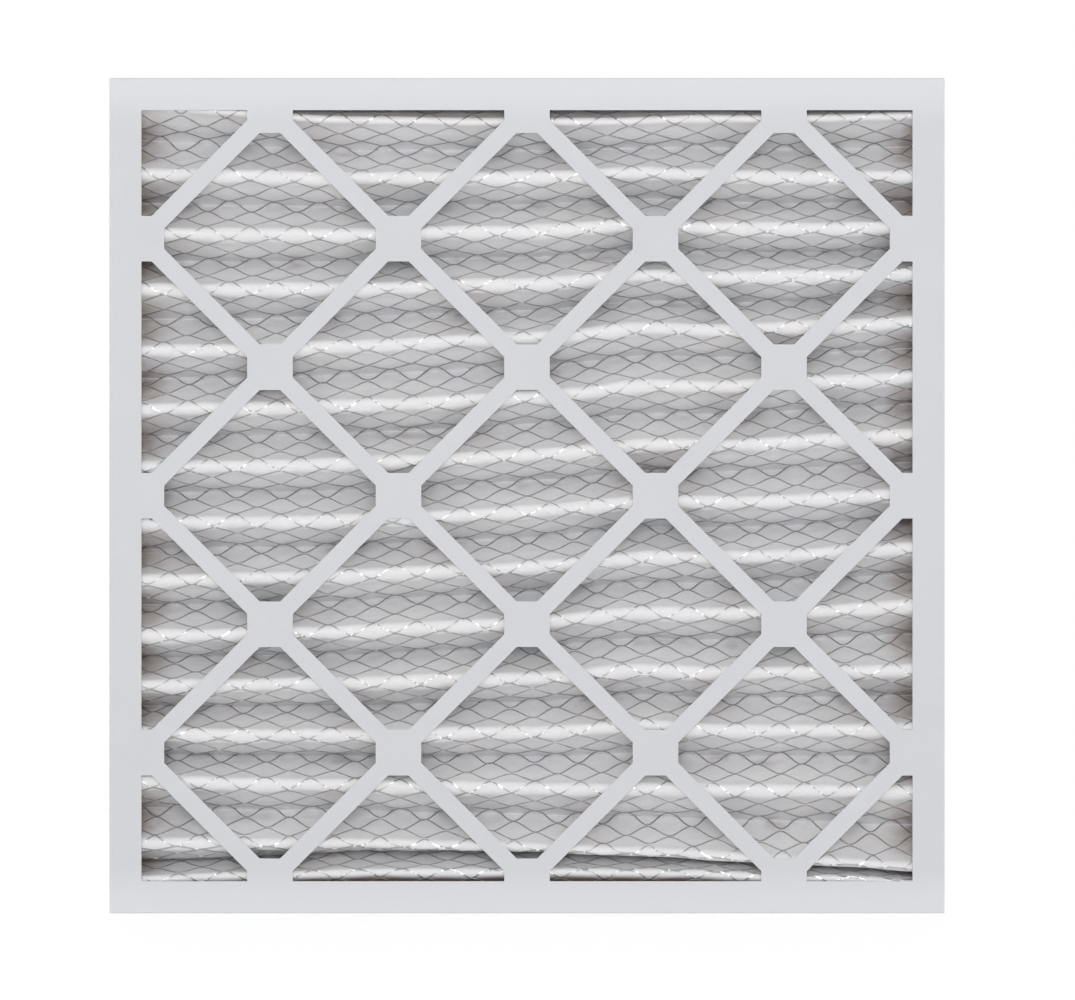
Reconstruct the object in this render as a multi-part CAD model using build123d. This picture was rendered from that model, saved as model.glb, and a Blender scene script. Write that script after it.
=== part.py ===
from build123d import *
import math
import os

# Pleated panel air filter for a 20 x 20 x 2 inch slot, in millimetres.
# It stands on its bottom edge: X runs across the face, Z is up, and the face with the
# wire-backed side of the media looks towards -Y. The origin is the middle of the bottom edge.
# Two die-cut board trays nest into each other round one folded sheet of filter media.

# Overall size
filter_width = 495.3
filter_height = 495.3
filter_depth = 44.45

# Die-cut board
board_thickness = 0.7
flange_width = 19.05
diamond_columns = 3
diamond_rows = 3
strut_width = 10.5
pad_side = 27.0
tab_length = 28.0
tab_taper = 6.0
tab_setback = 6.0
nest_clearance = 0.5

# Folded media and the wire support on its front
media_thickness = 2.0
wire_thickness = 0.5
fold_radius = 3.5
fold_half_steps = 2
pleat_count = 15
end_ridge_inset = 22.0
crowded_pitch = 17.0
valley_lean = 2.0
tail_setback = 9.0

# Wire support, slit and opened out from one sheet: strands cross each flank from fold to fold
wire_columns = 4
wire_strand_width = 0.5
wire_bond_length = 4.0

# Adhesive that bonds the media's ends and tails to the inner tray
end_seal_width = 2.0
tail_seal_margin = 3.0

# Derived places, shared by the pieces that meet
front_face = -filter_depth / 2
rear_face = filter_depth / 2
front_board_back = front_face + board_thickness
rear_board_front = rear_face - board_thickness
window_width = filter_width - 2 * flange_width
window_height = filter_height - 2 * flange_width
half_pitch_x = window_width / (2 * diamond_columns)
half_pitch_z = window_height / (2 * diamond_rows)
middle_height = filter_height / 2
nested_width = filter_width - 2 * board_thickness
nested_height = filter_height - 4 * board_thickness
pack_width = nested_width - 2 * board_thickness
tail_inset = 4 * board_thickness
media_width = pack_width - 2 * end_seal_width
tail_front = front_board_back + tail_setback
half_media = media_thickness / 2
ridge_centre = front_board_back + wire_thickness + half_media + fold_radius
valley_centre = rear_board_front - half_media - fold_radius


def lattice_point(column, row):
    """Place of a lattice crossing, counted from the window's lower left corner."""
    x = -window_width / 2 + column * half_pitch_x
    z = -window_height / 2 + row * half_pitch_z
    return x, z


def lattice_bars():
    """Diagonal struts and the square pads at their crossings, drawn flat."""
    slope = math.degrees(math.atan2(half_pitch_z, half_pitch_x))
    strip_length = 2 * (window_width + window_height)
    strip = Rectangle(strip_length, strut_width)
    last_column = 2 * diamond_columns
    last_row = 2 * diamond_rows
    bars = []
    for row in range(-last_column, last_row + 1):
        if row % 2:
            x, z = lattice_point(0, row)
            bars.append(Pos(x, z) * Rot(0, 0, slope) * strip)
    for row in range(0, last_row + last_column + 1):
        if row % 2:
            x, z = lattice_point(0, row)
            bars.append(Pos(x, z) * Rot(0, 0, -slope) * strip)
    for column in range(last_column + 1):
        for row in range(last_row + 1):
            if (column + row) % 2:
                x, z = lattice_point(column, row)
                bars.append(Pos(x, z) * Rectangle(pad_side, pad_side))
    return Sketch() + bars


def window_openings():
    """Everything that the die punches out of a face, drawn flat."""
    return Rectangle(window_width, window_height) - lattice_bars()


def folded_tray(width, height, depth):
    """A board tray open at the back: face down on Z = 0, walls rising along +Z.

    Creased board bends with a sharp inside and an outside radius of its own thickness.
    """
    outside = extrude(Rectangle(width, height), depth)
    face_edges = outside.faces().sort_by(Axis.Z)[0].edges()
    upright_edges = outside.edges().filter_by(Axis.Z)
    outside = fillet(face_edges + upright_edges, board_thickness)
    hollow = Rectangle(width - 2 * board_thickness, height - 2 * board_thickness)
    inside = Pos(0, 0, board_thickness) * extrude(hollow, depth)
    punched = extrude(window_openings(), board_thickness)
    return outside - inside - punched + corner_tabs(width, height, depth)


def corner_tabs(width, height, depth):
    """The glue tabs that fold from the side walls on to the inside of the end walls."""
    root_x = width / 2 - board_thickness / 2
    tip_x = width / 2 - board_thickness - tab_length
    low_y = board_thickness
    high_y = depth - tab_setback
    outline = Polyline(
        (root_x, low_y),
        (tip_x, low_y + tab_taper),
        (tip_x, high_y - tab_taper),
        (root_x, high_y),
        close=True,
    )
    tab = extrude(Plane.XZ * make_face(outline), board_thickness)
    tabs = []
    for side in (0, 180):
        upper = Rot(0, 0, side) * Pos(0, height / 2 - board_thickness, 0) * tab
        tabs.append(upper)
        tabs.append(mirror(upper, Plane.YZ))
    return tabs


def front_frame():
    """Outer tray: the lattice towards -Y, its walls over the whole depth."""
    tray = folded_tray(filter_width, filter_height, filter_depth)
    return Pos(0, front_face, middle_height) * Rot(-90, 0, 0) * tray


def rear_frame():
    """Inner tray: the same lattice towards +Y, nested within the outer tray's walls."""
    depth = filter_depth - board_thickness - nest_clearance
    tray = folded_tray(nested_width, nested_height, depth)
    return Pos(0, rear_face, middle_height) * Rot(90, 0, 0) * tray


def fold_centres():
    """Centres (y, z) of every fold in order from the top, rear folds and ridges in turn."""
    end_inset = tail_inset + half_media + fold_radius
    even_span = filter_height - 2 * end_ridge_inset - crowded_pitch
    ridge_pitch = even_span / (pleat_count - 2)
    ridges = [filter_height - end_ridge_inset - ridge_pitch * i for i in range(pleat_count - 1)]
    ridges.append(end_ridge_inset)
    centres = [(valley_centre, filter_height - end_inset)]
    for upper, lower in zip(ridges, ridges[1:]):
        centres.append((ridge_centre, upper))
        centres.append((valley_centre, (upper + lower) / 2 + valley_lean))
    centres.append((ridge_centre, ridges[-1]))
    centres.append((valley_centre, end_inset))
    return centres


def flank_angle(start, end, bulge):
    """Direction in which the flank between two folds faces, as seen from its first fold.

    The flank is the inner common tangent of two equal circles, so its normal is the line
    between their centres turned by the angle whose cosine is the two radii over that line.
    """
    run = end[0] - start[0]
    fall = end[1] - start[1]
    turn = math.acos(2 * fold_radius / math.hypot(run, fall))
    return math.atan2(fall, run) + turn * bulge


def fold_points(centre, bulge, radius, angle_in, angle_out):
    """Points round one fold, evenly turned from each flank to the fold's outermost line."""
    middle = 0.0 if bulge > 0 else math.pi
    first = math.remainder(angle_in - middle, math.tau)
    last = math.remainder(angle_out - middle, math.tau)
    steps = range(-fold_half_steps, fold_half_steps + 1)
    points = []
    for step in steps:
        share = abs(step) / fold_half_steps
        angle = middle + (first if step < 0 else last) * share
        y = centre[0] + radius * math.cos(angle)
        z = centre[1] + radius * math.sin(angle)
        points.append((y, z))
    return points


def pleat_line(offset):
    """One side of the folded sheet, offset from its middle towards the front face."""
    centres = fold_centres()
    points = [(tail_front, centres[0][1] + fold_radius - offset)]
    angle_in = math.pi / 2
    for index, centre in enumerate(centres):
        bulge = 1 if index % 2 == 0 else -1
        if index + 1 < len(centres):
            angle_out = flank_angle(centre, centres[index + 1], bulge)
        else:
            angle_out = -math.pi / 2
        radius = fold_radius - bulge * offset
        points += fold_points(centre, bulge, radius, angle_in, angle_out)
        angle_in = angle_out + math.pi
    points.append((tail_front, centres[-1][1] - fold_radius + offset))
    return points


def pleated_layer(back_offset, front_offset):
    """A layer of the folded pack between two offsets, over the width of the media."""
    outline = pleat_line(back_offset) + pleat_line(front_offset)[::-1]
    face = make_face(Polyline(*outline, close=True))
    return Pos(-media_width / 2, 0, 0) * extrude(Plane.YZ * face, media_width)


def pleated_media():
    """The filter media: one sheet folded into every pleat, its tails along the end walls."""
    return pleated_layer(-half_media, half_media)


def wire_gap(centre_x, upper, middle, lower):
    """One gap of the opened-out sheet, drawn flat: a lozenge that stops short of its bonds."""
    reach = (media_width / wire_columns - wire_bond_length) / 2
    corners = [
        (centre_x, upper - wire_strand_width),
        (centre_x + reach, middle),
        (centre_x, lower + wire_strand_width),
        (centre_x - reach, middle),
    ]
    return make_face(Polyline(*corners, close=True))


def wire_support():
    """The wire on the front of the media: strands that meet in bonds along every fold."""
    layer = pleated_layer(half_media, half_media + wire_thickness)
    heights = [centre[1] for centre in fold_centres()]
    wire_height = heights[0] - heights[-1]
    middle = (heights[0] + heights[-1]) / 2
    layer = layer & Pos(0, 0, middle) * Box(media_width, filter_depth, wire_height)
    heights.insert(0, 2 * heights[0] - heights[1])
    heights.append(2 * heights[-1] - heights[-2])
    column_pitch = media_width / wire_columns
    gaps = []
    for row in range(1, len(heights) - 1):
        shift = 0.5 if row % 2 == 0 else 0.0
        count = wire_columns if row % 2 == 0 else wire_columns + 1
        for column in range(count):
            x = -media_width / 2 + (column + shift) * column_pitch
            gaps.append(wire_gap(x, heights[row - 1], heights[row], heights[row + 1]))
    punch = extrude(Plane.XZ * Compound(gaps), filter_depth / 2, both=True)
    return layer - punch


def end_seal(side):
    """The band of adhesive that closes the pleat ends against a side wall of the inner tray."""
    depth = rear_board_front - front_board_back
    height = filter_height - 2 * tail_inset
    band = Box(end_seal_width, depth, height)
    return Pos(side * (media_width + end_seal_width) / 2, 0, middle_height) * band


def tail_seal(height):
    """The adhesive between a media tail and an end wall, from corner tab to corner tab."""
    length = pack_width - 2 * tab_length
    front = tail_front + tail_seal_margin
    rear = valley_centre - tail_seal_margin
    strip = Box(length, rear - front, board_thickness)
    return Pos(0, (front + rear) / 2, height) * strip


tail_seal_height = 3.5 * board_thickness

nodes = {
    "front_frame": front_frame(),
    "rear_frame": rear_frame(),
    "pleated_media": pleated_media(),
    "wire_support": wire_support(),
    "left_end_seal": end_seal(-1),
    "right_end_seal": end_seal(1),
    "top_tail_seal": tail_seal(filter_height - tail_seal_height),
    "bottom_tail_seal": tail_seal(tail_seal_height),
}

for name, shape in nodes.items():
    export_step(shape, f"parts/{name}.step")
    print(name, round(shape.volume, 1))
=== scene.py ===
import bpy
import numpy as np
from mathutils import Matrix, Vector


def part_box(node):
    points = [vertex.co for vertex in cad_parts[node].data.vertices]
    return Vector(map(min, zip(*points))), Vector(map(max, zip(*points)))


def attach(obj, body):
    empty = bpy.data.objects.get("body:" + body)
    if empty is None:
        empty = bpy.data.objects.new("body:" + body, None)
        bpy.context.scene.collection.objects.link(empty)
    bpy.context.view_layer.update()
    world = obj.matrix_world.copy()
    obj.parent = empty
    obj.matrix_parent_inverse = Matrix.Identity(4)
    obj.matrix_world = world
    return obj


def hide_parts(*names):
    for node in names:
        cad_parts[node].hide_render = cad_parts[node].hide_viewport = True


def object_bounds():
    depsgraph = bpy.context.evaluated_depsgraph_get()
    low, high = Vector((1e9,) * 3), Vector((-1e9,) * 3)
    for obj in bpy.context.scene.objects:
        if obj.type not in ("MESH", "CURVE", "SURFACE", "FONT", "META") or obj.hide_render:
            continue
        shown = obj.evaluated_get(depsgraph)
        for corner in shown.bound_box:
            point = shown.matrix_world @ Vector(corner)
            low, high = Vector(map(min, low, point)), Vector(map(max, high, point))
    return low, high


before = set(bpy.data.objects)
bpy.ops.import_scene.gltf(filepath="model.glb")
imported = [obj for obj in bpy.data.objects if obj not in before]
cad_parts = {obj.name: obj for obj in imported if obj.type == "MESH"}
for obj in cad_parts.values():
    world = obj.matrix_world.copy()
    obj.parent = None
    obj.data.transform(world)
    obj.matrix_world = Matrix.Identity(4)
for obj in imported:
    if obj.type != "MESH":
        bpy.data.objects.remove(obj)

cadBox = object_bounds()  # the CAD model's box, before anything is added
mm = 0.001
wholeLow, wholeHigh = (np.array(corner) for corner in cadBox)
faceY = wholeLow[1]   # the front face: depths in the materials are measured back from it


def cornersOf(node):  # lowest and highest corner of a CAD node, as two numpy rows
    low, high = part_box(node)
    return np.array(low), np.array(high)


def gridQuads(rows, columns):
    # Quads over a grid of rows x columns points numbered row by row:
    # each joins a point, its right neighbour, and the two below them.
    index = np.arange(rows * columns).reshape(rows, columns)
    corners = (index[:-1, :-1], index[:-1, 1:], index[1:, 1:], index[1:, :-1])
    return np.stack(corners, axis=-1).reshape(-1, 4)


def makeMesh(name, points, quads, smooth):
    mesh = bpy.data.meshes.new(name)
    mesh.vertices.add(len(points))
    mesh.vertices.foreach_set("co", points.astype(np.float32).ravel())
    mesh.loops.add(quads.size)
    mesh.loops.foreach_set("vertex_index", quads.astype(np.int32).ravel())
    mesh.polygons.add(len(quads))
    mesh.polygons.foreach_set("loop_start", np.arange(0, quads.size, 4, dtype=np.int32))
    mesh.polygons.foreach_set("use_smooth", np.full(len(quads), smooth))
    mesh.update(calc_edges=True)
    mesh.validate()
    piece = bpy.data.objects.new(name, mesh)
    bpy.context.scene.collection.objects.link(piece)
    return piece


def smoothNoise(along, seed, waves):
    # A sum of sines whose phases and strengths are drawn once: smooth, about -1 to 1.
    draw = np.random.default_rng(seed)
    total = np.zeros_like(along)
    for wave in waves:
        phase = draw.uniform(0.0, 2.0 * np.pi)
        strength = draw.uniform(0.5, 1.0)
        total = total + strength * np.sin(2.0 * np.pi * along / wave + phase)
    return total / len(waves)


def uneven(x, number, pattern):
    # smoothNoise along x for one ridge, fold or strand: each reads it shift further on
    # than the one above. A pattern is that shift, a seed, and the wavelengths.
    shift, seed, waves = pattern
    return smoothNoise(x + shift * number, seed, waves)


class Nodes:  # short way to write the node tree of a material or of the world
    def __init__(self, owner):
        owner.use_nodes = True
        self.owner = owner
        self.tree = owner.node_tree
        self.tree.nodes.clear()

    def add(self, kind, settings=None, **inputs):
        node = self.tree.nodes.new(kind)
        for key, value in (settings or {}).items():
            setattr(node, key, value)
        for key, value in inputs.items():
            self.feed(node, key, value)
        return node

    def feed(self, node, key, value):
        # n3 is input 3; any other key is the input's name, with _ for each space
        numbered = key[0] == "n" and key[1:].isdigit()
        socket = node.inputs[int(key[1:]) if numbered else key.replace("_", " ")]
        if hasattr(value, "is_output"):
            self.tree.links.new(value, socket)
        else:
            socket.default_value = value

    def place(self):  # the place on the piece, the same in every pose
        return self.add("ShaderNodeTexCoord").outputs["Object"]

    def split(self, vector):
        return self.add("ShaderNodeSeparateXYZ", Vector=vector).outputs

    def math(self, operation, first, second=0.0):
        node = self.add("ShaderNodeMath", {"operation": operation}, n0=first, n1=second)
        return node.outputs[0]

    def noise(self, vector, scale, detail, rough, distort=0.0):
        node = self.add("ShaderNodeTexNoise", Vector=vector, Scale=scale, Detail=detail,
                        Roughness=rough, Distortion=distort)
        return node.outputs["Fac"]

    def stretch(self, vector, scale):
        return self.add("ShaderNodeMapping", Vector=vector, Scale=scale).outputs[0]

    def ramp(self, value, low, high, start=0.0, end=1.0):
        node = self.add("ShaderNodeMapRange", {"interpolation_type": "SMOOTHSTEP"}, n0=value,
                        n1=low, n2=high, n3=start, n4=end)
        return node.outputs[0]

    def both(self, first, second, shares):  # two patterns added by their shares
        return self.math("ADD", self.math("MULTIPLY", first, shares[0]),
                         self.math("MULTIPLY", second, shares[1]))

    def blend(self, share, first, second, how="MIX"):
        settings = {"data_type": "RGBA", "blend_type": how}
        return self.add("ShaderNodeMix", settings, n0=share, n6=first, n7=second).outputs[2]

    def bump(self, height, distance, strength, under=None):
        node = self.add("ShaderNodeBump", Height=height, Distance=distance, Strength=strength)
        if under is not None:
            self.feed(node, "Normal", under)
        return node.outputs["Normal"]

    def finish(self, shader, kind="ShaderNodeOutputMaterial"):
        self.add(kind, Surface=shader)
        return self.owner


def newMaterial(name):
    return Nodes(bpy.data.materials.new(name))


def opaque(red, green, blue):
    return (red, green, blue, 1.0)


white = opaque(1.0, 1.0, 1.0)


def wear(node, material):  # a CAD node keeps its shape and gets a better finish
    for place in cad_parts[node].material_slots:
        place.link = "OBJECT"
        place.material = material


shot = {
    "distance": 4.2,    # from the face
    "frameWide": 1075,  # width of the frame in pixels
    "faceWide": 835.4,  # width of the face in the frame
    "aimRight": 10.5,   # the frame's centre from the face's centre, in pixels
    "aimDown": 4.3,
    "sensor": 36.0,
    "farthest": 60.0,
}


def placeCamera():
    perPixel = (wholeHigh[0] - wholeLow[0]) / shot["faceWide"]
    middle = (wholeLow + wholeHigh) / 2
    lens = bpy.data.cameras.new("studioCamera")
    lens.sensor_width = shot["sensor"]
    lens.lens = shot["sensor"] * shot["distance"] / (perPixel * shot["frameWide"])
    lens.clip_end = shot["farthest"]
    camera = bpy.data.objects.new("studioCamera", lens)
    camera.location = (middle[0] + shot["aimRight"] * perPixel, faceY - shot["distance"],
                       middle[2] - shot["aimDown"] * perPixel)
    camera.rotation_euler = (np.pi / 2, 0.0, 0.0)
    bpy.context.scene.collection.objects.link(camera)
    bpy.context.scene.camera = camera


studio = {
    "sky": 0.6,                 # even light from all round, at the level of the eye
    "zenith": 0.42,             # and straight above
    "lampSize": 1.6,
    "lampAway": 4.4,
    "lampHeight": 0.5,
    "frontPower": 111.0,
    "backPower": 98.0,
    "sidePower": 60.0,
    "aimHeight": 0.25,
    "floorWide": 30.0,
    "floorColor": opaque(0.88, 0.88, 0.88),
    "floorLift": 0.44,          # added white that brings the open floor up to the background
    "floorKeep": (0.45, 1.5),   # the floor's own shading fades out between these distances
}


def placeLamp(name, power, place):
    # A square lamp turned to face the aim point: tilted by how far it stands out against how
    # far up, and swung round to the side it stands on.
    lamp = bpy.data.lights.new(name, "AREA")
    lamp.shape = "SQUARE"
    lamp.size = studio["lampSize"]
    lamp.energy = power
    piece = bpy.data.objects.new(name, lamp)
    piece.location = place
    away = np.array(place) - np.array((0.0, 0.0, studio["aimHeight"]))
    tilt = np.arctan2(np.hypot(away[0], away[1]), away[2])
    swing = np.arctan2(away[1], away[0]) + np.pi / 2
    piece.rotation_euler = (tilt, 0.0, swing)
    piece.visible_camera = False
    bpy.context.scene.collection.objects.link(piece)


def showsBackground(n):
    # 1 for rays that show the background: the camera's own, and those that a shiny or a clear
    # surface sends on. 0 for the light that falls on the part.
    path = n.add("ShaderNodeLightPath").outputs
    straight = n.math("MAXIMUM", path["Is Camera Ray"], path["Is Glossy Ray"])
    return n.math("MAXIMUM", straight, path["Is Transmission Ray"])


def lightStudio():
    world = bpy.data.worlds.new("paleRoom")
    n = Nodes(world)
    outwards = n.add("ShaderNodeTexCoord").outputs["Generated"]
    upwards = n.split(outwards)["Z"]
    strength = n.add("ShaderNodeMapRange", Value=upwards, To_Min=studio["sky"],
                     To_Max=studio["zenith"]).outputs[0]
    lit = n.add("ShaderNodeBackground", Color=white, Strength=strength).outputs[0]
    seen = n.add("ShaderNodeBackground", Color=white, Strength=1.0).outputs[0]
    mix = n.add("ShaderNodeMixShader", n0=showsBackground(n), n1=lit, n2=seen)
    n.finish(mix.outputs[0], "ShaderNodeOutputWorld")
    bpy.context.scene.world = world
    away, height = studio["lampAway"], studio["lampHeight"]
    placeLamp("frontLamp", studio["frontPower"], (0.0, -away, height))
    placeLamp("backLamp", studio["backPower"], (0.0, away, height))
    placeLamp("leftLamp", studio["sidePower"], (-away, 0.0, height))
    placeLamp("rightLamp", studio["sidePower"], (away, 0.0, height))


def layFloor():
    half = studio["floorWide"] / 2
    points = np.array([(-half, -half, 0.0), (half, -half, 0.0),
                       (half, half, 0.0), (-half, half, 0.0)])
    floor = makeMesh("studioFloor", points, np.array([[0, 1, 2, 3]]), False)
    n = newMaterial("paleFloor")
    away = n.add("ShaderNodeVectorMath", {"operation": "LENGTH"}, n0=n.place()).outputs["Value"]
    shown = showsBackground(n)
    faded = n.math("MULTIPLY", n.ramp(away, *studio["floorKeep"]), shown)
    lifted = n.math("MULTIPLY", shown, studio["floorLift"])
    matte = n.add("ShaderNodeBsdfDiffuse", Color=studio["floorColor"]).outputs[0]
    lift = n.add("ShaderNodeEmission", Color=white, Strength=lifted).outputs[0]
    near = n.add("ShaderNodeAddShader", n0=matte, n1=lift).outputs[0]
    far = n.add("ShaderNodeEmission", Color=white, Strength=1.0).outputs[0]
    mix = n.add("ShaderNodeMixShader", n0=faded, n1=near, n2=far)
    floor.data.materials.append(n.finish(mix.outputs[0]))


placeCamera()
lightStudio()
layFloor()
print("camera, lamps and floor are placed")


board = {
    "coat": opaque(0.62, 0.628, 0.653),       # clay-coated outside
    "coatShade": opaque(0.597, 0.604, 0.629),
    "coatPaintedLight": opaque(0.675, 0.683, 0.708),  # painted light: lighter towards the top and the bottom edge
    "paintedLightReach": (6.0 * mm, 30.0 * mm),
    "kraft": opaque(0.42, 0.31, 0.22),        # bare back and cut edges
    "kraftDark": opaque(0.3, 0.21, 0.14),
    "coatDepth": 0.3 * mm,
    # patterns: scale, detail, roughness and, where there is one, distortion
    "cloud": (38.0, 4.0, 0.55),
    "cloudRange": (0.35, 0.75, 0.0, 0.45),
    "speck": (1500.0, 2.0, 0.6),
    "fibre": (420.0, 5.0, 0.65, 0.6),
    "fibreStretch": (1.0, 1.0, 5.0),
    "fibreRange": (0.35, 0.7),
    "rough": (0.3, 0.7, 0.5, 0.67),           # roughness from 0.5 to 0.67 along the fibres
    "reliefShares": (0.7, 0.3),               # fibres and specks in the surface's relief
    "relief": (0.05 * mm, 0.5),               # its depth and strength
    "shine": 0.3,
}


def boardMaterial(name, faceSide):
    # Coated within coatDepth of the part's outer planes, brown on the back and the cut edges.
    # faceSide is -1 for the tray that shows its face to the front and 1 for the other.
    n = newMaterial(name)
    place = n.place()
    split = n.split(place)
    side = n.math("SUBTRACT", wholeHigh[0], n.math("ABSOLUTE", split[0]))
    face = n.math("SUBTRACT", wholeHigh[1], n.math("MULTIPLY", split[1], faceSide))
    ends = n.math("MINIMUM", split[2], n.math("SUBTRACT", wholeHigh[2], split[2]))
    nearest = n.math("MINIMUM", n.math("MINIMUM", side, ends), face)
    bare = n.math("GREATER_THAN", nearest, board["coatDepth"])
    cloud = n.noise(place, *board["cloud"])
    speck = n.noise(place, *board["speck"])
    fibre = n.noise(n.stretch(place, board["fibreStretch"]), *board["fibre"])
    coat = n.blend(n.ramp(cloud, *board["cloudRange"]), board["coat"], board["coatShade"])
    # painted light: the coat lighter towards the top and the bottom edge
    coat = n.blend(n.ramp(ends, *board["paintedLightReach"], 1.0, 0.0), coat, board["coatPaintedLight"])
    kraft = n.blend(n.ramp(fibre, *board["fibreRange"]), board["kraft"], board["kraftDark"])
    height = n.both(fibre, speck, board["reliefShares"])
    shader = n.add("ShaderNodeBsdfPrincipled", Base_Color=n.blend(bare, coat, kraft),
                   Roughness=n.ramp(fibre, *board["rough"]), Specular_IOR_Level=board["shine"],
                   Normal=n.bump(height, *board["relief"]))
    return n.finish(shader.outputs[0])


wear("front_frame", boardMaterial("frontBoard", -1.0))
wear("rear_frame", boardMaterial("rearBoard", 1.0))
print("board is finished")


mediaLow, mediaHigh = cornersOf("pleated_media")
wireLow = cornersOf("wire_support")[0]

media = {
    "thick": 2.0 * mm,
    "wireGap": 0.5 * mm,         # the ridges' front from the wire's front
    "tailStart": 8.5 * mm,       # the tails' front edges from the sheet's front
    "tailRadius": 3.5 * mm,
    "tailSteps": 6,
    "noseUnder": 4.9 * mm,       # fold radius below a ridge: the ridge hangs a little
    "noseOver": 2.2 * mm,        # fold radius above a ridge
    "valleyRadius": 1.2 * mm,
    "valleyShare": 0.48,         # valley's place between the ridges, from the upper one
    "lastShare": (0.58, 0.2),    # the same above the last ridge, from left to right
    "lastShareAt": (-190.0 * mm, -40.0 * mm),
    "endCrease": (0.36, 0.5),    # how much tighter the first and the last ridge are folded
    "roomy": 14.0 * mm,          # folds nearer than this get smaller radii
    "tightest": 0.35,            # down to this share of them
    # each ridge's drop below the top edge, in mm, at the left, the middle and the right
    "leftDrops": (17, 56, 91, 124.5, 160.5, 195.5, 229.5, 263, 296.5, 329.5,
                  359.5, 388, 417, 453.3, 474.3),
    "middleDrops": (25.8, 57.5, 89.5, 120.5, 153, 188, 222.5, 256, 289, 322,
                    354.5, 387, 420.5, 456.5, 470.5),
    "rightDrops": (22.3, 57.5, 87.5, 115.5, 144.5, 177, 211.5, 246.5, 279, 313,
                   351, 385.5, 422.5, 467, 476),
    "sampleAt": 213.0 * mm,      # how far left and right of the middle those drops are taken
    # where ridges are pulled up or hang a little: place, width and rise, in mm
    "pulls": ((67, 24, 2.8), (-105, 55, -1.4)),
    "pulledRidges": 12,          # the last ridge that they reach, counted from 1
    "firstPulls": ((105, 50, 1.6), (-110, 35, -1.2)),   # the same for the first ridge alone
    "wander": 0.7 * mm,          # how far ridges stray up and down
    "noseSink": 0.5 * mm,        # how far back from the front they lie, more or less
    "noseUneven": 0.3,           # how much their fold radius varies along them
    "belly": 1.7 * mm,           # how far the flank under a ridge bows outwards
    "slack": 0.4 * mm,           # how unevenly all flanks bow
    "dent": 1.8 * mm,            # depth of the soft dents in the flanks
    "dentSlants": (0.6, -1.1),   # how far the dents' two waves run sideways as they go down
    # patterns of what is uneven: shift from one to the next, seed, and wavelengths in metres
    "wanderPattern": (0.173, 11, (0.31, 0.17, 0.093)),
    "sinkPattern": (0.31, 23, (0.12, 0.071)),
    "nosePattern": (0.29, 61, (0.15, 0.062, 0.037)),
    "slackPattern": (0.37, 5, (0.27, 0.13, 0.067)),
    "dentPatterns": ((0.53, 71, (0.047, 0.031, 0.023)), (0.41, 73, (0.083, 0.039))),
    "columns": 104,
    # rows of points down each pleat half: from share, to share, number of rows
    "fromRidge": ((0.0, 0.2, 7), (0.2, 0.955, 5), (0.955, 1.0, 3)),
    "fromValley": ((0.0, 0.045, 3), (0.045, 0.86, 5), (0.86, 1.0, 5)),
    "lengthSamples": 4000,
}

ridgeCount = len(media["leftDrops"])
foldCount = 2 * ridgeCount + 1   # valley, ridge, valley ... valley, counted from the top
topFold = mediaHigh[2] - media["thick"] / 2 - media["tailRadius"]
bottomFold = mediaLow[2] + media["thick"] / 2 + media["tailRadius"]
ridgeDepth = wireLow[1] + media["wireGap"] + media["thick"] / 2
valleyDepth = mediaHigh[1] - media["thick"] / 2
tailFront = mediaLow[1] + media["tailStart"]


def pullAt(x, pulls):  # a sum of bell curves, each with its own place, width and rise
    return sum(rise * mm * np.exp(-0.5 * ((x / mm - place) / wide) ** 2)
               for place, wide, rise in pulls)


def ridgeHeight(x, ridge):
    # A parabola through the three drops, plus a slow seeded wander of its own for each ridge
    # and the pulls.
    reach = x / media["sampleAt"]
    left, middle, right = (np.array(media[key])[ridge] * mm
                           for key in ("leftDrops", "middleDrops", "rightDrops"))
    drop = middle + (right - left) / 2 * reach + ((right + left) / 2 - middle) * reach ** 2
    drift = uneven(x, ridge, media["wanderPattern"]) * media["wander"]
    pull = np.where(ridge < media["pulledRidges"], pullAt(x, media["pulls"]), 0.0)
    pull = np.where(ridge == 0, pullAt(x, media["firstPulls"]), pull)
    return wholeHigh[2] - drop + drift + pull


def valleyShare(x, ridge):  # ridge is the one above the valley, counted from 0
    last = np.interp(x, media["lastShareAt"], media["lastShare"])
    return np.where(ridge == ridgeCount - 2, last, media["valleyShare"])


def foldHeight(x, fold):
    # Ridges are the odd folds. A valley stands valleyShare of the way from the ridge above
    # to the ridge below, and the first and last folds lie by the end walls.
    ridge = np.clip((fold - 1) // 2, 0, ridgeCount - 1)
    below = np.clip(fold // 2, 0, ridgeCount - 1)
    upper = ridgeHeight(x, ridge)
    lower = ridgeHeight(x, below)
    valley = upper + (lower - upper) * valleyShare(x, ridge)
    height = np.where(fold % 2 == 1, upper, valley)
    height = np.where(fold <= 0, topFold, height)
    return np.where(fold >= foldCount - 1, bottomFold, height)


def foldDepth(x, fold):
    # Ridges stand at the front and sink a little by seeded amounts; valleys stand at the back.
    sink = (1.0 + uneven(x, fold, media["sinkPattern"])) * media["noseSink"]
    return np.where(fold % 2 == 1, ridgeDepth + sink, valleyDepth)


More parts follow.
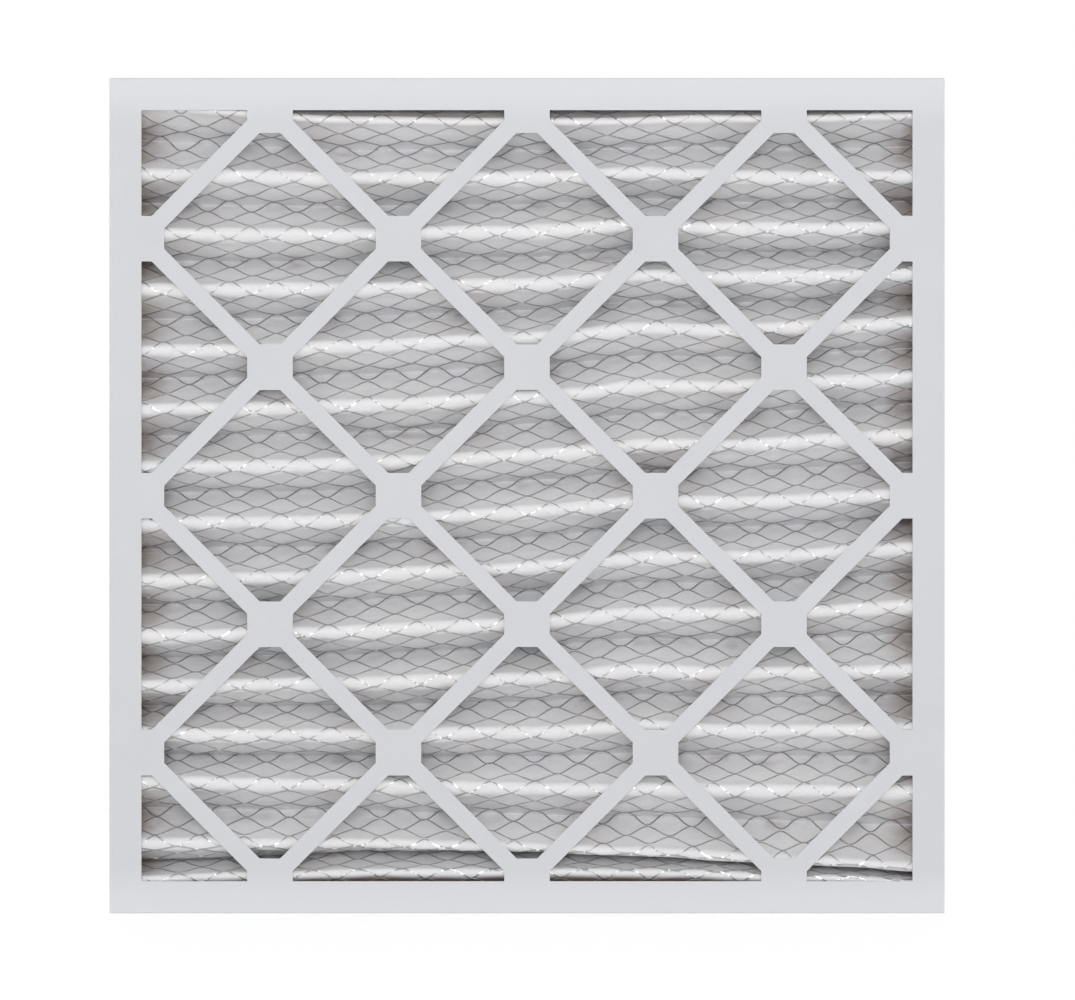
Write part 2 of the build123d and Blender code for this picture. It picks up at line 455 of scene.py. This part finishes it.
def pleatShape(x, first):
    # What sets the line from one fold to the next: both ends, both radii, and the flank's turn
    # off the vertical. The arcs' centres lie rise apart in height and run less both radii in
    # depth. The turn is the arctangent of that depth over that height, plus the arcsine of both
    # radii over the centres' distance, so that the flank touches both arcs.
    toBack = np.where(first % 2 == 1, 1.0, -1.0)
    z0, z1 = foldHeight(x, first), foldHeight(x, first + 1)
    y0, y1 = foldDepth(x, first), foldDepth(x, first + 1)
    rise, run = z0 - z1, toBack * (y1 - y0)
    small = np.clip(rise / media["roomy"], media["tightest"], 1.0)
    ridge = first // 2
    nose = 1.0 + uneven(x, ridge, media["nosePattern"]) * media["noseUneven"]
    firstCrease, lastCrease = media["endCrease"]
    crease = np.where(ridge == 0, firstCrease, np.where(ridge == ridgeCount - 1, lastCrease, 1.0))
    nose = nose * crease
    r0 = np.where(toBack > 0, media["noseUnder"] * nose, media["valleyRadius"]) * small
    r1 = np.where(toBack > 0, media["valleyRadius"], media["noseOver"] * nose) * small
    both = r0 + r1
    slant = np.hypot(rise, run - both)
    turn = np.arctan2(run - both, rise) + np.arcsin(both / slant)
    flank = np.sqrt(slant ** 2 - both ** 2)
    return toBack, y0, z0, rise, run, r0, r1, turn, flank


def shareAtDrop(x, first, drop, lift):
    # How far along its line, 0 to 1, a pleat half has come down by drop, 0 to 1 of its rise,
    # on a surface lifted off the middle one: an arcsine on each arc, a straight share between.
    toBack, y0, z0, rise, run, r0, r1, turn, flank = pleatShape(x, first)
    down = drop * rise
    lifted0, lifted1 = r0 + toBack * lift, r1 - toBack * lift
    upper, lower = lifted0 * np.sin(turn), lifted1 * np.sin(turn)
    total = (r0 + r1) * turn + flank
    onFirst = r0 * np.arcsin(np.clip(down / lifted0, 0.0, 1.0))
    onFlank = r0 * turn + (down - upper) / np.cos(turn)
    onLast = total - r1 * np.arcsin(np.clip((rise - down) / lifted1, 0.0, 1.0))
    along = np.where(down < upper, onFirst, np.where(down > rise - lower, onLast, onFlank))
    return along / total


def flankBow(x, first, toBack, rise, onFlank):
    # How far a flank bows off the straight: seeded slack, a belly under the ridges, and soft
    # dents where two slanting waves meet, all fading out towards both folds as sin squared.
    bow = uneven(x, first, media["slackPattern"]) * media["slack"]
    belly = np.where(toBack > 0, media["belly"], 0.0)
    bow = bow + belly * np.clip(rise / media["roomy"], 0.0, 1.0)
    dents = 1.0
    for slant, pattern in zip(media["dentSlants"], media["dentPatterns"]):
        dents = dents * uneven(x + slant * onFlank * rise, first, pattern)
    bow = bow + dents * media["dent"]
    return bow * np.sin(np.pi * onFlank) ** 2


def foldedSheet(x, fold, lift):
    # The place (y, z) and front-facing normal of the folded sheet at distance x across it and
    # at a fold count that runs 0, 1, 2 ... through the folds, lifted off its middle surface.
    # Between two folds the line is an arc, a flank that bows a little, and an arc.
    first = np.clip(np.floor(fold), 0, foldCount - 2).astype(int)
    share = np.clip(fold - first, 0.0, 1.0)
    toBack, y0, z0, rise, run, r0, r1, turn, flank = pleatShape(x, first)
    arc0, arc1 = r0 * turn, r1 * turn
    along = share * (arc0 + flank + arc1)
    onFlank = np.clip((along - arc0) / flank, 0.0, 1.0)
    inLast = along > arc0 + flank
    angle = np.where(inLast, (arc0 + flank + arc1 - along) / r1, np.minimum(along / r0, turn))
    p = np.where(inLast, run - r1 * (1 - np.cos(angle)),
                 r0 * (1 - np.cos(angle)) + onFlank * flank * np.sin(turn))
    h = np.where(inLast, rise - r1 * np.sin(angle),
                 r0 * np.sin(angle) + onFlank * flank * np.cos(turn))
    lift = lift + flankBow(x, first, toBack, rise, onFlank)
    normalY = -np.cos(angle)
    normalZ = -toBack * np.sin(angle)
    y = y0 + toBack * p + lift * normalY
    z = z0 - h + lift * normalZ
    return y, z, normalY, normalZ


def sheetLength():  # length along all folds at the middle of the sheet, with both tails
    fold = np.linspace(0.0, foldCount - 1.0, media["lengthSamples"])
    y, z = foldedSheet(np.zeros_like(fold), fold, 0.0)[:2]
    tail = valleyDepth - media["tailRadius"] - tailFront + media["tailRadius"] * np.pi / 2
    return np.hypot(np.diff(y), np.diff(z)).sum() + 2 * tail


def tailLine(lift, end):
    # A tail: from its front end straight back along the end wall, then a quarter circle
    # into the first or last fold. end is 1 at the top and -1 at the bottom.
    steps, radius = media["tailSteps"], media["tailRadius"]
    centreY = valleyDepth - radius
    centreZ = topFold if end > 0 else bottomFold
    straight = np.linspace(tailFront, centreY, steps)
    angle = np.linspace(np.pi / 2, 0.0, steps)[1:-1]
    y = np.concatenate([straight, centreY + (radius - lift) * np.cos(angle)])
    z = np.concatenate([np.full(steps, centreZ + end * (radius - lift)),
                        centreZ + end * (radius - lift) * np.sin(angle)])
    return y, z


def foldSamples():
    # Fold counts at which the sheet is sampled: closer in the folds than on the flanks.
    fromRidge, fromValley = (
        np.concatenate([np.linspace(*part, endpoint=False) for part in media[key]])
        for key in ("fromRidge", "fromValley"))
    counts = [first + (fromRidge if first % 2 == 1 else fromValley)
              for first in range(foldCount - 1)]
    return np.concatenate(counts + [[foldCount - 1.0]])


def sheetSide(lift):
    # One side of the sheet as a grid of points: rows follow the tails and the folds, columns
    # run across. Also each row's fold count.
    x = np.linspace(mediaLow[0], mediaHigh[0], media["columns"])
    wide, tall = np.meshgrid(x, foldSamples())
    y, z = foldedSheet(wide, tall, lift)[:2]
    rows = [np.stack([wide, y, z], axis=-1)]
    counts = tall[:, 0]
    for end in (1, -1):
        tailY, tailZ = tailLine(lift, end)
        counts = np.pad(counts, (len(tailY), 0) if end > 0 else (0, len(tailY)), mode="edge")
        tail = np.stack([np.broadcast_to(x, (len(tailY), len(x))),
                         np.broadcast_to(tailY[:, None], (len(tailY), len(x))),
                         np.broadcast_to(tailZ[:, None], (len(tailY), len(x)))], axis=-1)
        rows.insert(0 if end > 0 else len(rows), tail if end > 0 else tail[::-1])
    return np.concatenate(rows), counts


def makeMedia():
    # Both sides of the sheet, half its thickness either way from the middle surface, and a rim
    # of quads round the grid's border that closes it.
    front, counts = sheetSide(media["thick"] / 2)
    back = sheetSide(-media["thick"] / 2)[0]
    rows, columns = front.shape[:2]
    points = np.concatenate([front.reshape(-1, 3), back.reshape(-1, 3)])
    index = np.arange(rows * columns).reshape(rows, columns)
    rim = np.concatenate([index[0, :-1], index[:-1, -1], index[-1, :0:-1], index[:0:-1, 0]])
    nextOne = np.roll(rim, -1)
    behind = rows * columns
    edge = np.stack([rim, rim + behind, nextOne + behind, nextOne], axis=-1)
    face = gridQuads(rows, columns)
    quads = np.concatenate([face[:, ::-1], face + behind, edge[:, ::-1]])
    piece = makeMesh("pleatedMedia", points, quads, True)
    marks = piece.data.attributes.new("foldCount", "FLOAT", "POINT")
    marks.data.foreach_set("value", np.tile(np.repeat(counts, columns), 2).astype(np.float32))
    return piece


felt = {
    "crestPaintedShade": opaque(0.84, 0.841, 0.863),       # painted shade: a little darker on the ridges
    "crestPaintedShadeWarm": opaque(0.852, 0.843, 0.85),
    "crestDepth": (5.0 * mm, 13.0 * mm),       # the crest's tone ends between these depths
    "flank": opaque(0.868, 0.867, 0.888),
    "flankWarm": opaque(0.876, 0.865, 0.872),
    "floor": opaque(0.912, 0.912, 0.931),      # painted light: lighter at the bottom of the pleats
    "pleatBottomLightDepth": (29.0 * mm, 38.0 * mm),
    "endPaintedShade": opaque(0.54, 0.47, 0.44),         # painted shade, brownish, at the pleats' ends behind the frame's side borders
    "endShadeReach": (13.0 * mm, 36.0 * mm),       # it fades between these, from the ends
    "endShadeDepth": (5.0 * mm, 16.0 * mm),
    "endShadePatch": (0.35, 0.65, 0.4, 0.95),
    "pleatPaintedShadeSpots": opaque(0.55, 0.51, 0.49),        # painted shade: soft dark spots deep in the pleats
    "shadeSpotDepth": (18.0 * mm, 34.0 * mm),
    "shadeSpotNoise": (33.0, 2.0, 0.5),
    "shadeSpotRange": (0.6, 0.74, 0.0, 0.5),
    "crease": opaque(0.7, 0.695, 0.71),        # painted shade along the bottom of each valley
    "creaseShadeDepth": (41.0 * mm, 41.5 * mm),
    "flapPaintedShade": opaque(0.68, 0.665, 0.66),         # painted shade on the end flap above the first ridge, under the top border
    "flapFade": (0.93, 0.985),                 # where it gives way to the ridge, in fold counts
    "hemPaintedShade": opaque(0.36, 0.28, 0.24),           # painted shade, brown, under the last ridge
    "hemFade": (29.08, 29.16),
    # which way the surface faces: ranges of its normal
    "facesFront": (0.35, 0.6),
    "facesUp": (0.1, 0.3),
    "facesDown": (-0.3, -0.1, 1.0, 0.0),
    # patterns: scale, detail, roughness and, where there is one, distortion
    "fibre": (520.0, 6.0, 0.7, 1.4),
    "cloud": (21.0, 3.0, 0.55),
    "patch": (75.0, 3.0, 0.5, 0.4),
    "strand": (300.0, 4.0, 0.6, 2.2),
    "strandStretch": (1.0, 3.0, 3.0),
    "warmRange": (0.42, 0.62),
    "mottle": opaque(0.92, 0.92, 0.92),
    "mottleShares": (0.6, 0.4),                # fibres and patches in the mottling
    "mottleRange": (0.3, 0.7),
    "softer": 0.8,                             # strands beside fibres, clouds beside patches
    "relief": (0.3 * mm, 0.8),                 # depth and strength of the fine relief
    "rumple": (1.6 * mm, 0.5),                 # and of the broad one under it
    "rough": 0.95,
    "shine": 0.15,
}


def mediaMaterial():
    n = newMaterial("nonwovenMedia")
    place = n.place()
    split = n.split(place)
    depth = n.math("SUBTRACT", split[1], faceY)
    inward = n.math("SUBTRACT", mediaHigh[0], n.math("ABSOLUTE", split[0]))
    fibre = n.noise(place, *felt["fibre"])
    cloud = n.noise(place, *felt["cloud"])
    patch = n.noise(place, *felt["patch"])
    strand = n.noise(n.stretch(place, felt["strandStretch"]), *felt["strand"])
    # painted light and shade: the tone follows the depth, a little darker on the ridges and
    # lighter at the bottom of the pleats
    warm = n.ramp(cloud, *felt["warmRange"])
    crestPaintedShade = n.blend(warm, felt["crestPaintedShade"], felt["crestPaintedShadeWarm"])
    flank = n.blend(warm, felt["flank"], felt["flankWarm"])
    color = n.blend(n.ramp(depth, *felt["crestDepth"]), crestPaintedShade, flank)
    # painted light: lighter at the bottom of the pleats
    color = n.blend(n.ramp(depth, *felt["pleatBottomLightDepth"]), color, felt["floor"])
    # painted shade at the pleats' ends and in soft spots deep in the pleats
    # painted shade at the ends, growing with depth
    endShade = n.math("MULTIPLY", n.ramp(inward, *felt["endShadeReach"], 1.0, 0.0),
                    n.ramp(depth, *felt["endShadeDepth"]))
    endShade = n.math("MULTIPLY", endShade, n.ramp(patch, *felt["endShadePatch"]))
    color = n.blend(endShade, color, felt["endPaintedShade"])
    # painted shade in soft spots, stronger deeper in the pleats
    shadeSpots = n.ramp(n.noise(place, *felt["shadeSpotNoise"]), *felt["shadeSpotRange"])
    shadeSpots = n.math("MULTIPLY", shadeSpots, n.ramp(depth, *felt["shadeSpotDepth"]))
    color = n.blend(shadeSpots, color, felt["pleatPaintedShadeSpots"])
    # painted shade along the bottom of each valley, on the flap above the first ridge and under
    # the last ridge
    facing = n.split(n.add("ShaderNodeNewGeometry").outputs["Normal"])
    fold = n.add("ShaderNodeAttribute", {"attribute_name": "foldCount"}).outputs["Fac"]
    forward = n.ramp(n.math("MULTIPLY", facing[1], -1.0), *felt["facesFront"])
    creasePaintedShade = n.math("MULTIPLY", forward, n.ramp(depth, *felt["creaseShadeDepth"]))
    color = n.blend(creasePaintedShade, color, felt["crease"])
    # painted shade on the upward-facing flap above the first ridge
    flapPaintedShade = n.math("MULTIPLY", n.ramp(fold, *felt["flapFade"], 1.0, 0.0),
                  n.ramp(facing[2], *felt["facesUp"]))
    color = n.blend(flapPaintedShade, color, felt["flapPaintedShade"])
    # painted shade, brown, on the downward-facing flank under the last ridge
    hemPaintedShade = n.math("MULTIPLY", n.ramp(fold, *felt["hemFade"]), n.ramp(facing[2], *felt["facesDown"]))
    color = n.blend(hemPaintedShade, color, felt["hemPaintedShade"])
    # mottling and relief
    mottle = n.both(fibre, patch, felt["mottleShares"])
    shade = n.blend(n.ramp(mottle, *felt["mottleRange"]), felt["mottle"], white)
    color = n.blend(1.0, color, shade, "MULTIPLY")
    broad = n.math("ADD", patch, n.math("MULTIPLY", cloud, felt["softer"]))
    fine = n.math("ADD", fibre, n.math("MULTIPLY", strand, felt["softer"]))
    rumple = n.bump(broad, *felt["rumple"])
    shader = n.add("ShaderNodeBsdfPrincipled", Base_Color=color, Roughness=felt["rough"],
                   Specular_IOR_Level=felt["shine"], Normal=n.bump(fine, *felt["relief"], rumple))
    return n.finish(shader.outputs[0])


pleatedMedia = makeMedia()
pleatedMedia.data.materials.append(mediaMaterial())
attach(pleatedMedia, "root")
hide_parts("pleated_media")
sheetFlat = (float(mediaHigh[0] - mediaLow[0]), float(sheetLength()))
print("media is folded, flat size", [round(side, 4) for side in sheetFlat])


wire = {
    "longWay": 26.65 * mm,      # bond to bond across the sheet
    "phase": -112.3 * mm,       # a bond's place across the sheet, in the row below the first ridge
    "skew": 0.124 * mm,         # how far each row of bonds stands right of the one above
    # rows of bonds from ridge to ridge, as shares of the way down: the gaps look widest
    # on the ridge and in the valley, where the sheet faces forwards
    "bondRows": (0.108, 0.21, 0.305, 0.40, 0.61, 0.765, 0.885),
    # 0 is a round wave, 1 a zigzag, for the strands under each row of bonds
    "sharp": (0.93, 0.93, 0.85, 0.55, 0.8, 0.9, 0.9),
    "wide": 0.8 * mm,
    "thick": 0.4 * mm,
    "perWave": 12,
    "spareRows": 3,             # strands past the first and the last row of bonds
    "reach": 0.48,              # half height of a strand's wave, in rows
    "jitter": 0.13,             # how unevenly the strands stand, in rows
    "jitterPattern": (0.113, 41, (0.083, 0.047, 0.029)),
    "shift": 0.03,              # and how far their waves shift sideways, in waves
    "shiftPattern": (0.207, 43, (0.19, 0.071)),
    "dull": opaque(0.46, 0.458, 0.46),
    "plain": opaque(0.6, 0.598, 0.6),
    "deepPaintedShade": opaque(0.41, 0.408, 0.41),      # painted shade: darker deep in the pleats
    "deepDepth": (16.0 * mm, 38.0 * mm),
    "crestPaintedReflection": opaque(0.47, 0.468, 0.47),    # painted reflection: the wire's tone on the ridges
    "crestDepth": (1.5 * mm, 5.5 * mm),
    "paintedGlint": opaque(0.92, 0.92, 0.92),      # and painted glints in spots there
    "glintNoise": (320.0, 1.0, 0.5),
    "glintRange": (0.58, 0.64),
    "spot": (260.0, 3.0, 0.6),
    "spotRange": (0.35, 0.7),
    "rough": (0.3, 0.7, 0.48, 0.62),
    "relief": (0.05 * mm, 0.4),
}


def rowFold(x, level, lift):
    # The fold count at a level in rows of bonds. Level 0 is the first row under ridge 1, and
    # each pleat has as many rows as bondRows names, spread down it as bondRows says.
    shares = np.array(wire["bondRows"])
    perPleat = len(shares)
    pleat = np.floor(level / perPleat)
    rows = np.arange(-1, perPleat + 1)
    places = np.concatenate([[shares[-1] - 1.0], shares, [shares[0] + 1.0]])
    drop = np.interp(level - pleat * perPleat, rows, places) + pleat  # 0 at ridge 1, 1 at ridge 2
    ridge = np.floor(drop)
    share = drop - ridge
    valley = valleyShare(x, ridge)
    upper = share < valley
    within = np.where(upper, share / valley, (share - valley) / (1.0 - valley))
    first = (2 * ridge + np.where(upper, 1, 2)).astype(int)
    first = np.clip(first, 0, foldCount - 2)
    return first + shareAtDrop(x, first, within, lift)


def strandCentres():
    # Each strand is a wave across the sheet that turns back at every bond, where it meets the
    # next strand: level + reach * asin(sharp * cos) / asin(sharp), odd strands the other way up.
    # Gives the centre line of each strand on the folded sheet, and the sheet's normal there.
    perPleat = len(wire["bondRows"])
    spare = wire["spareRows"]
    strands = np.arange(-spare, perPleat * (ridgeCount - 1) + spare) + 0.5
    waves = (mediaHigh[0] - mediaLow[0]) / wire["longWay"]
    x = np.linspace(mediaLow[0], mediaHigh[0], int(np.ceil(waves * wire["perWave"])) + 1)
    wide, strand = np.meshgrid(x, strands)
    turns = (wide - wire["phase"] - wire["skew"] * strand) / wire["longWay"]
    turns = turns + uneven(wide, strand, wire["shiftPattern"]) * wire["shift"]
    sharp = np.array(wire["sharp"])[np.floor(strand).astype(int) % perPleat]
    wave = np.arcsin(sharp * np.cos(2 * np.pi * turns)) / np.arcsin(sharp)
    upDown = np.where(np.floor(strand) % 2 == 0, 1.0, -1.0)
    level = strand + upDown * wire["reach"] * wave
    level = level + uneven(wide, strand, wire["jitterPattern"]) * wire["jitter"]
    lift = media["thick"] / 2 + wire["thick"] / 2
    y, z, normalY, normalZ = foldedSheet(wide, rowFold(wide, level, lift), lift)
    centre = np.stack([wide, y, z], axis=-1)
    normal = np.stack([np.zeros_like(y), normalY, normalZ], axis=-1)
    return centre, normal


def makeWire():
    # A flat four-sided section carried along every centre line: thick along the sheet's normal,
    # wide across the strand, closed by a quad at each end.
    centre, normal = strandCentres()
    strands, count = centre.shape[:2]
    ahead = np.gradient(centre, axis=1)
    ahead /= np.linalg.norm(ahead, axis=-1, keepdims=True)
    across = np.cross(normal, ahead)
    across /= np.linalg.norm(across, axis=-1, keepdims=True)
    halfWide = across * wire["wide"] / 2
    halfThick = normal * wire["thick"] / 2
    ring = np.stack([centre + halfWide + halfThick, centre - halfWide + halfThick,
                     centre - halfWide - halfThick, centre + halfWide - halfThick], axis=2)
    points = ring.reshape(-1, 3)
    index = np.arange(len(points)).reshape(strands, count, 4)
    after = np.roll(index, -1, axis=2)
    quads = np.stack([index[:, :-1], after[:, :-1], after[:, 1:], index[:, 1:]], axis=-1)
    caps = np.concatenate([index[:, 0, ::-1], index[:, -1]])
    quads = np.concatenate([quads.reshape(-1, 4), caps])
    return makeMesh("wireMesh", points, quads, False)


def wireMaterial():
    n = newMaterial("dullWire")
    place = n.place()
    split = n.split(place)
    depth = n.math("SUBTRACT", split[1], faceY)
    spot = n.noise(place, *wire["spot"])
    dull = n.blend(n.ramp(spot, *wire["spotRange"]), wire["dull"], wire["plain"])
    # painted shade: the wire darker deeper in the pleats
    dull = n.blend(n.ramp(depth, *wire["deepDepth"]), dull, wire["deepPaintedShade"])
    # painted reflection and painted glints on the wire over the ridges
    paintedGlint = n.ramp(n.noise(place, *wire["glintNoise"]), *wire["glintRange"])
    bright = n.blend(paintedGlint, wire["crestPaintedReflection"], wire["paintedGlint"])
    color = n.blend(n.ramp(depth, *wire["crestDepth"], 1.0, 0.0), dull, bright)
    shader = n.add("ShaderNodeBsdfPrincipled", Base_Color=color, Metallic=1.0,
                   Roughness=n.ramp(spot, *wire["rough"]), Normal=n.bump(spot, *wire["relief"]))
    return n.finish(shader.outputs[0])


wireMesh = makeWire()
wireMesh.data.materials.append(wireMaterial())
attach(wireMesh, "root")
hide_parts("wire_support")
print("wire is laid,", len(wireMesh.data.polygons) * 2, "triangles")


glue = {
    "amber": opaque(0.78, 0.75, 0.66),
    "milky": opaque(0.86, 0.84, 0.78),
    "lump": (90.0, 3.0, 0.5),
    "rough": (0.3, 0.7, 0.35, 0.55),
    "relief": (0.6 * mm, 0.6),
}


def glueMaterial():
    n = newMaterial("driedGlue")
    lump = n.noise(n.place(), *glue["lump"])
    color = n.blend(lump, glue["amber"], glue["milky"])
    shader = n.add("ShaderNodeBsdfPrincipled", Base_Color=color,
                   Roughness=n.ramp(lump, *glue["rough"]), Normal=n.bump(lump, *glue["relief"]))
    return n.finish(shader.outputs[0])


driedGlue = glueMaterial()
for seal in ("left_end_seal", "right_end_seal", "top_tail_seal", "bottom_tail_seal"):
    wear(seal, driedGlue)
print("adhesive is finished")

bpy.context.scene.view_settings.view_transform = "Standard"
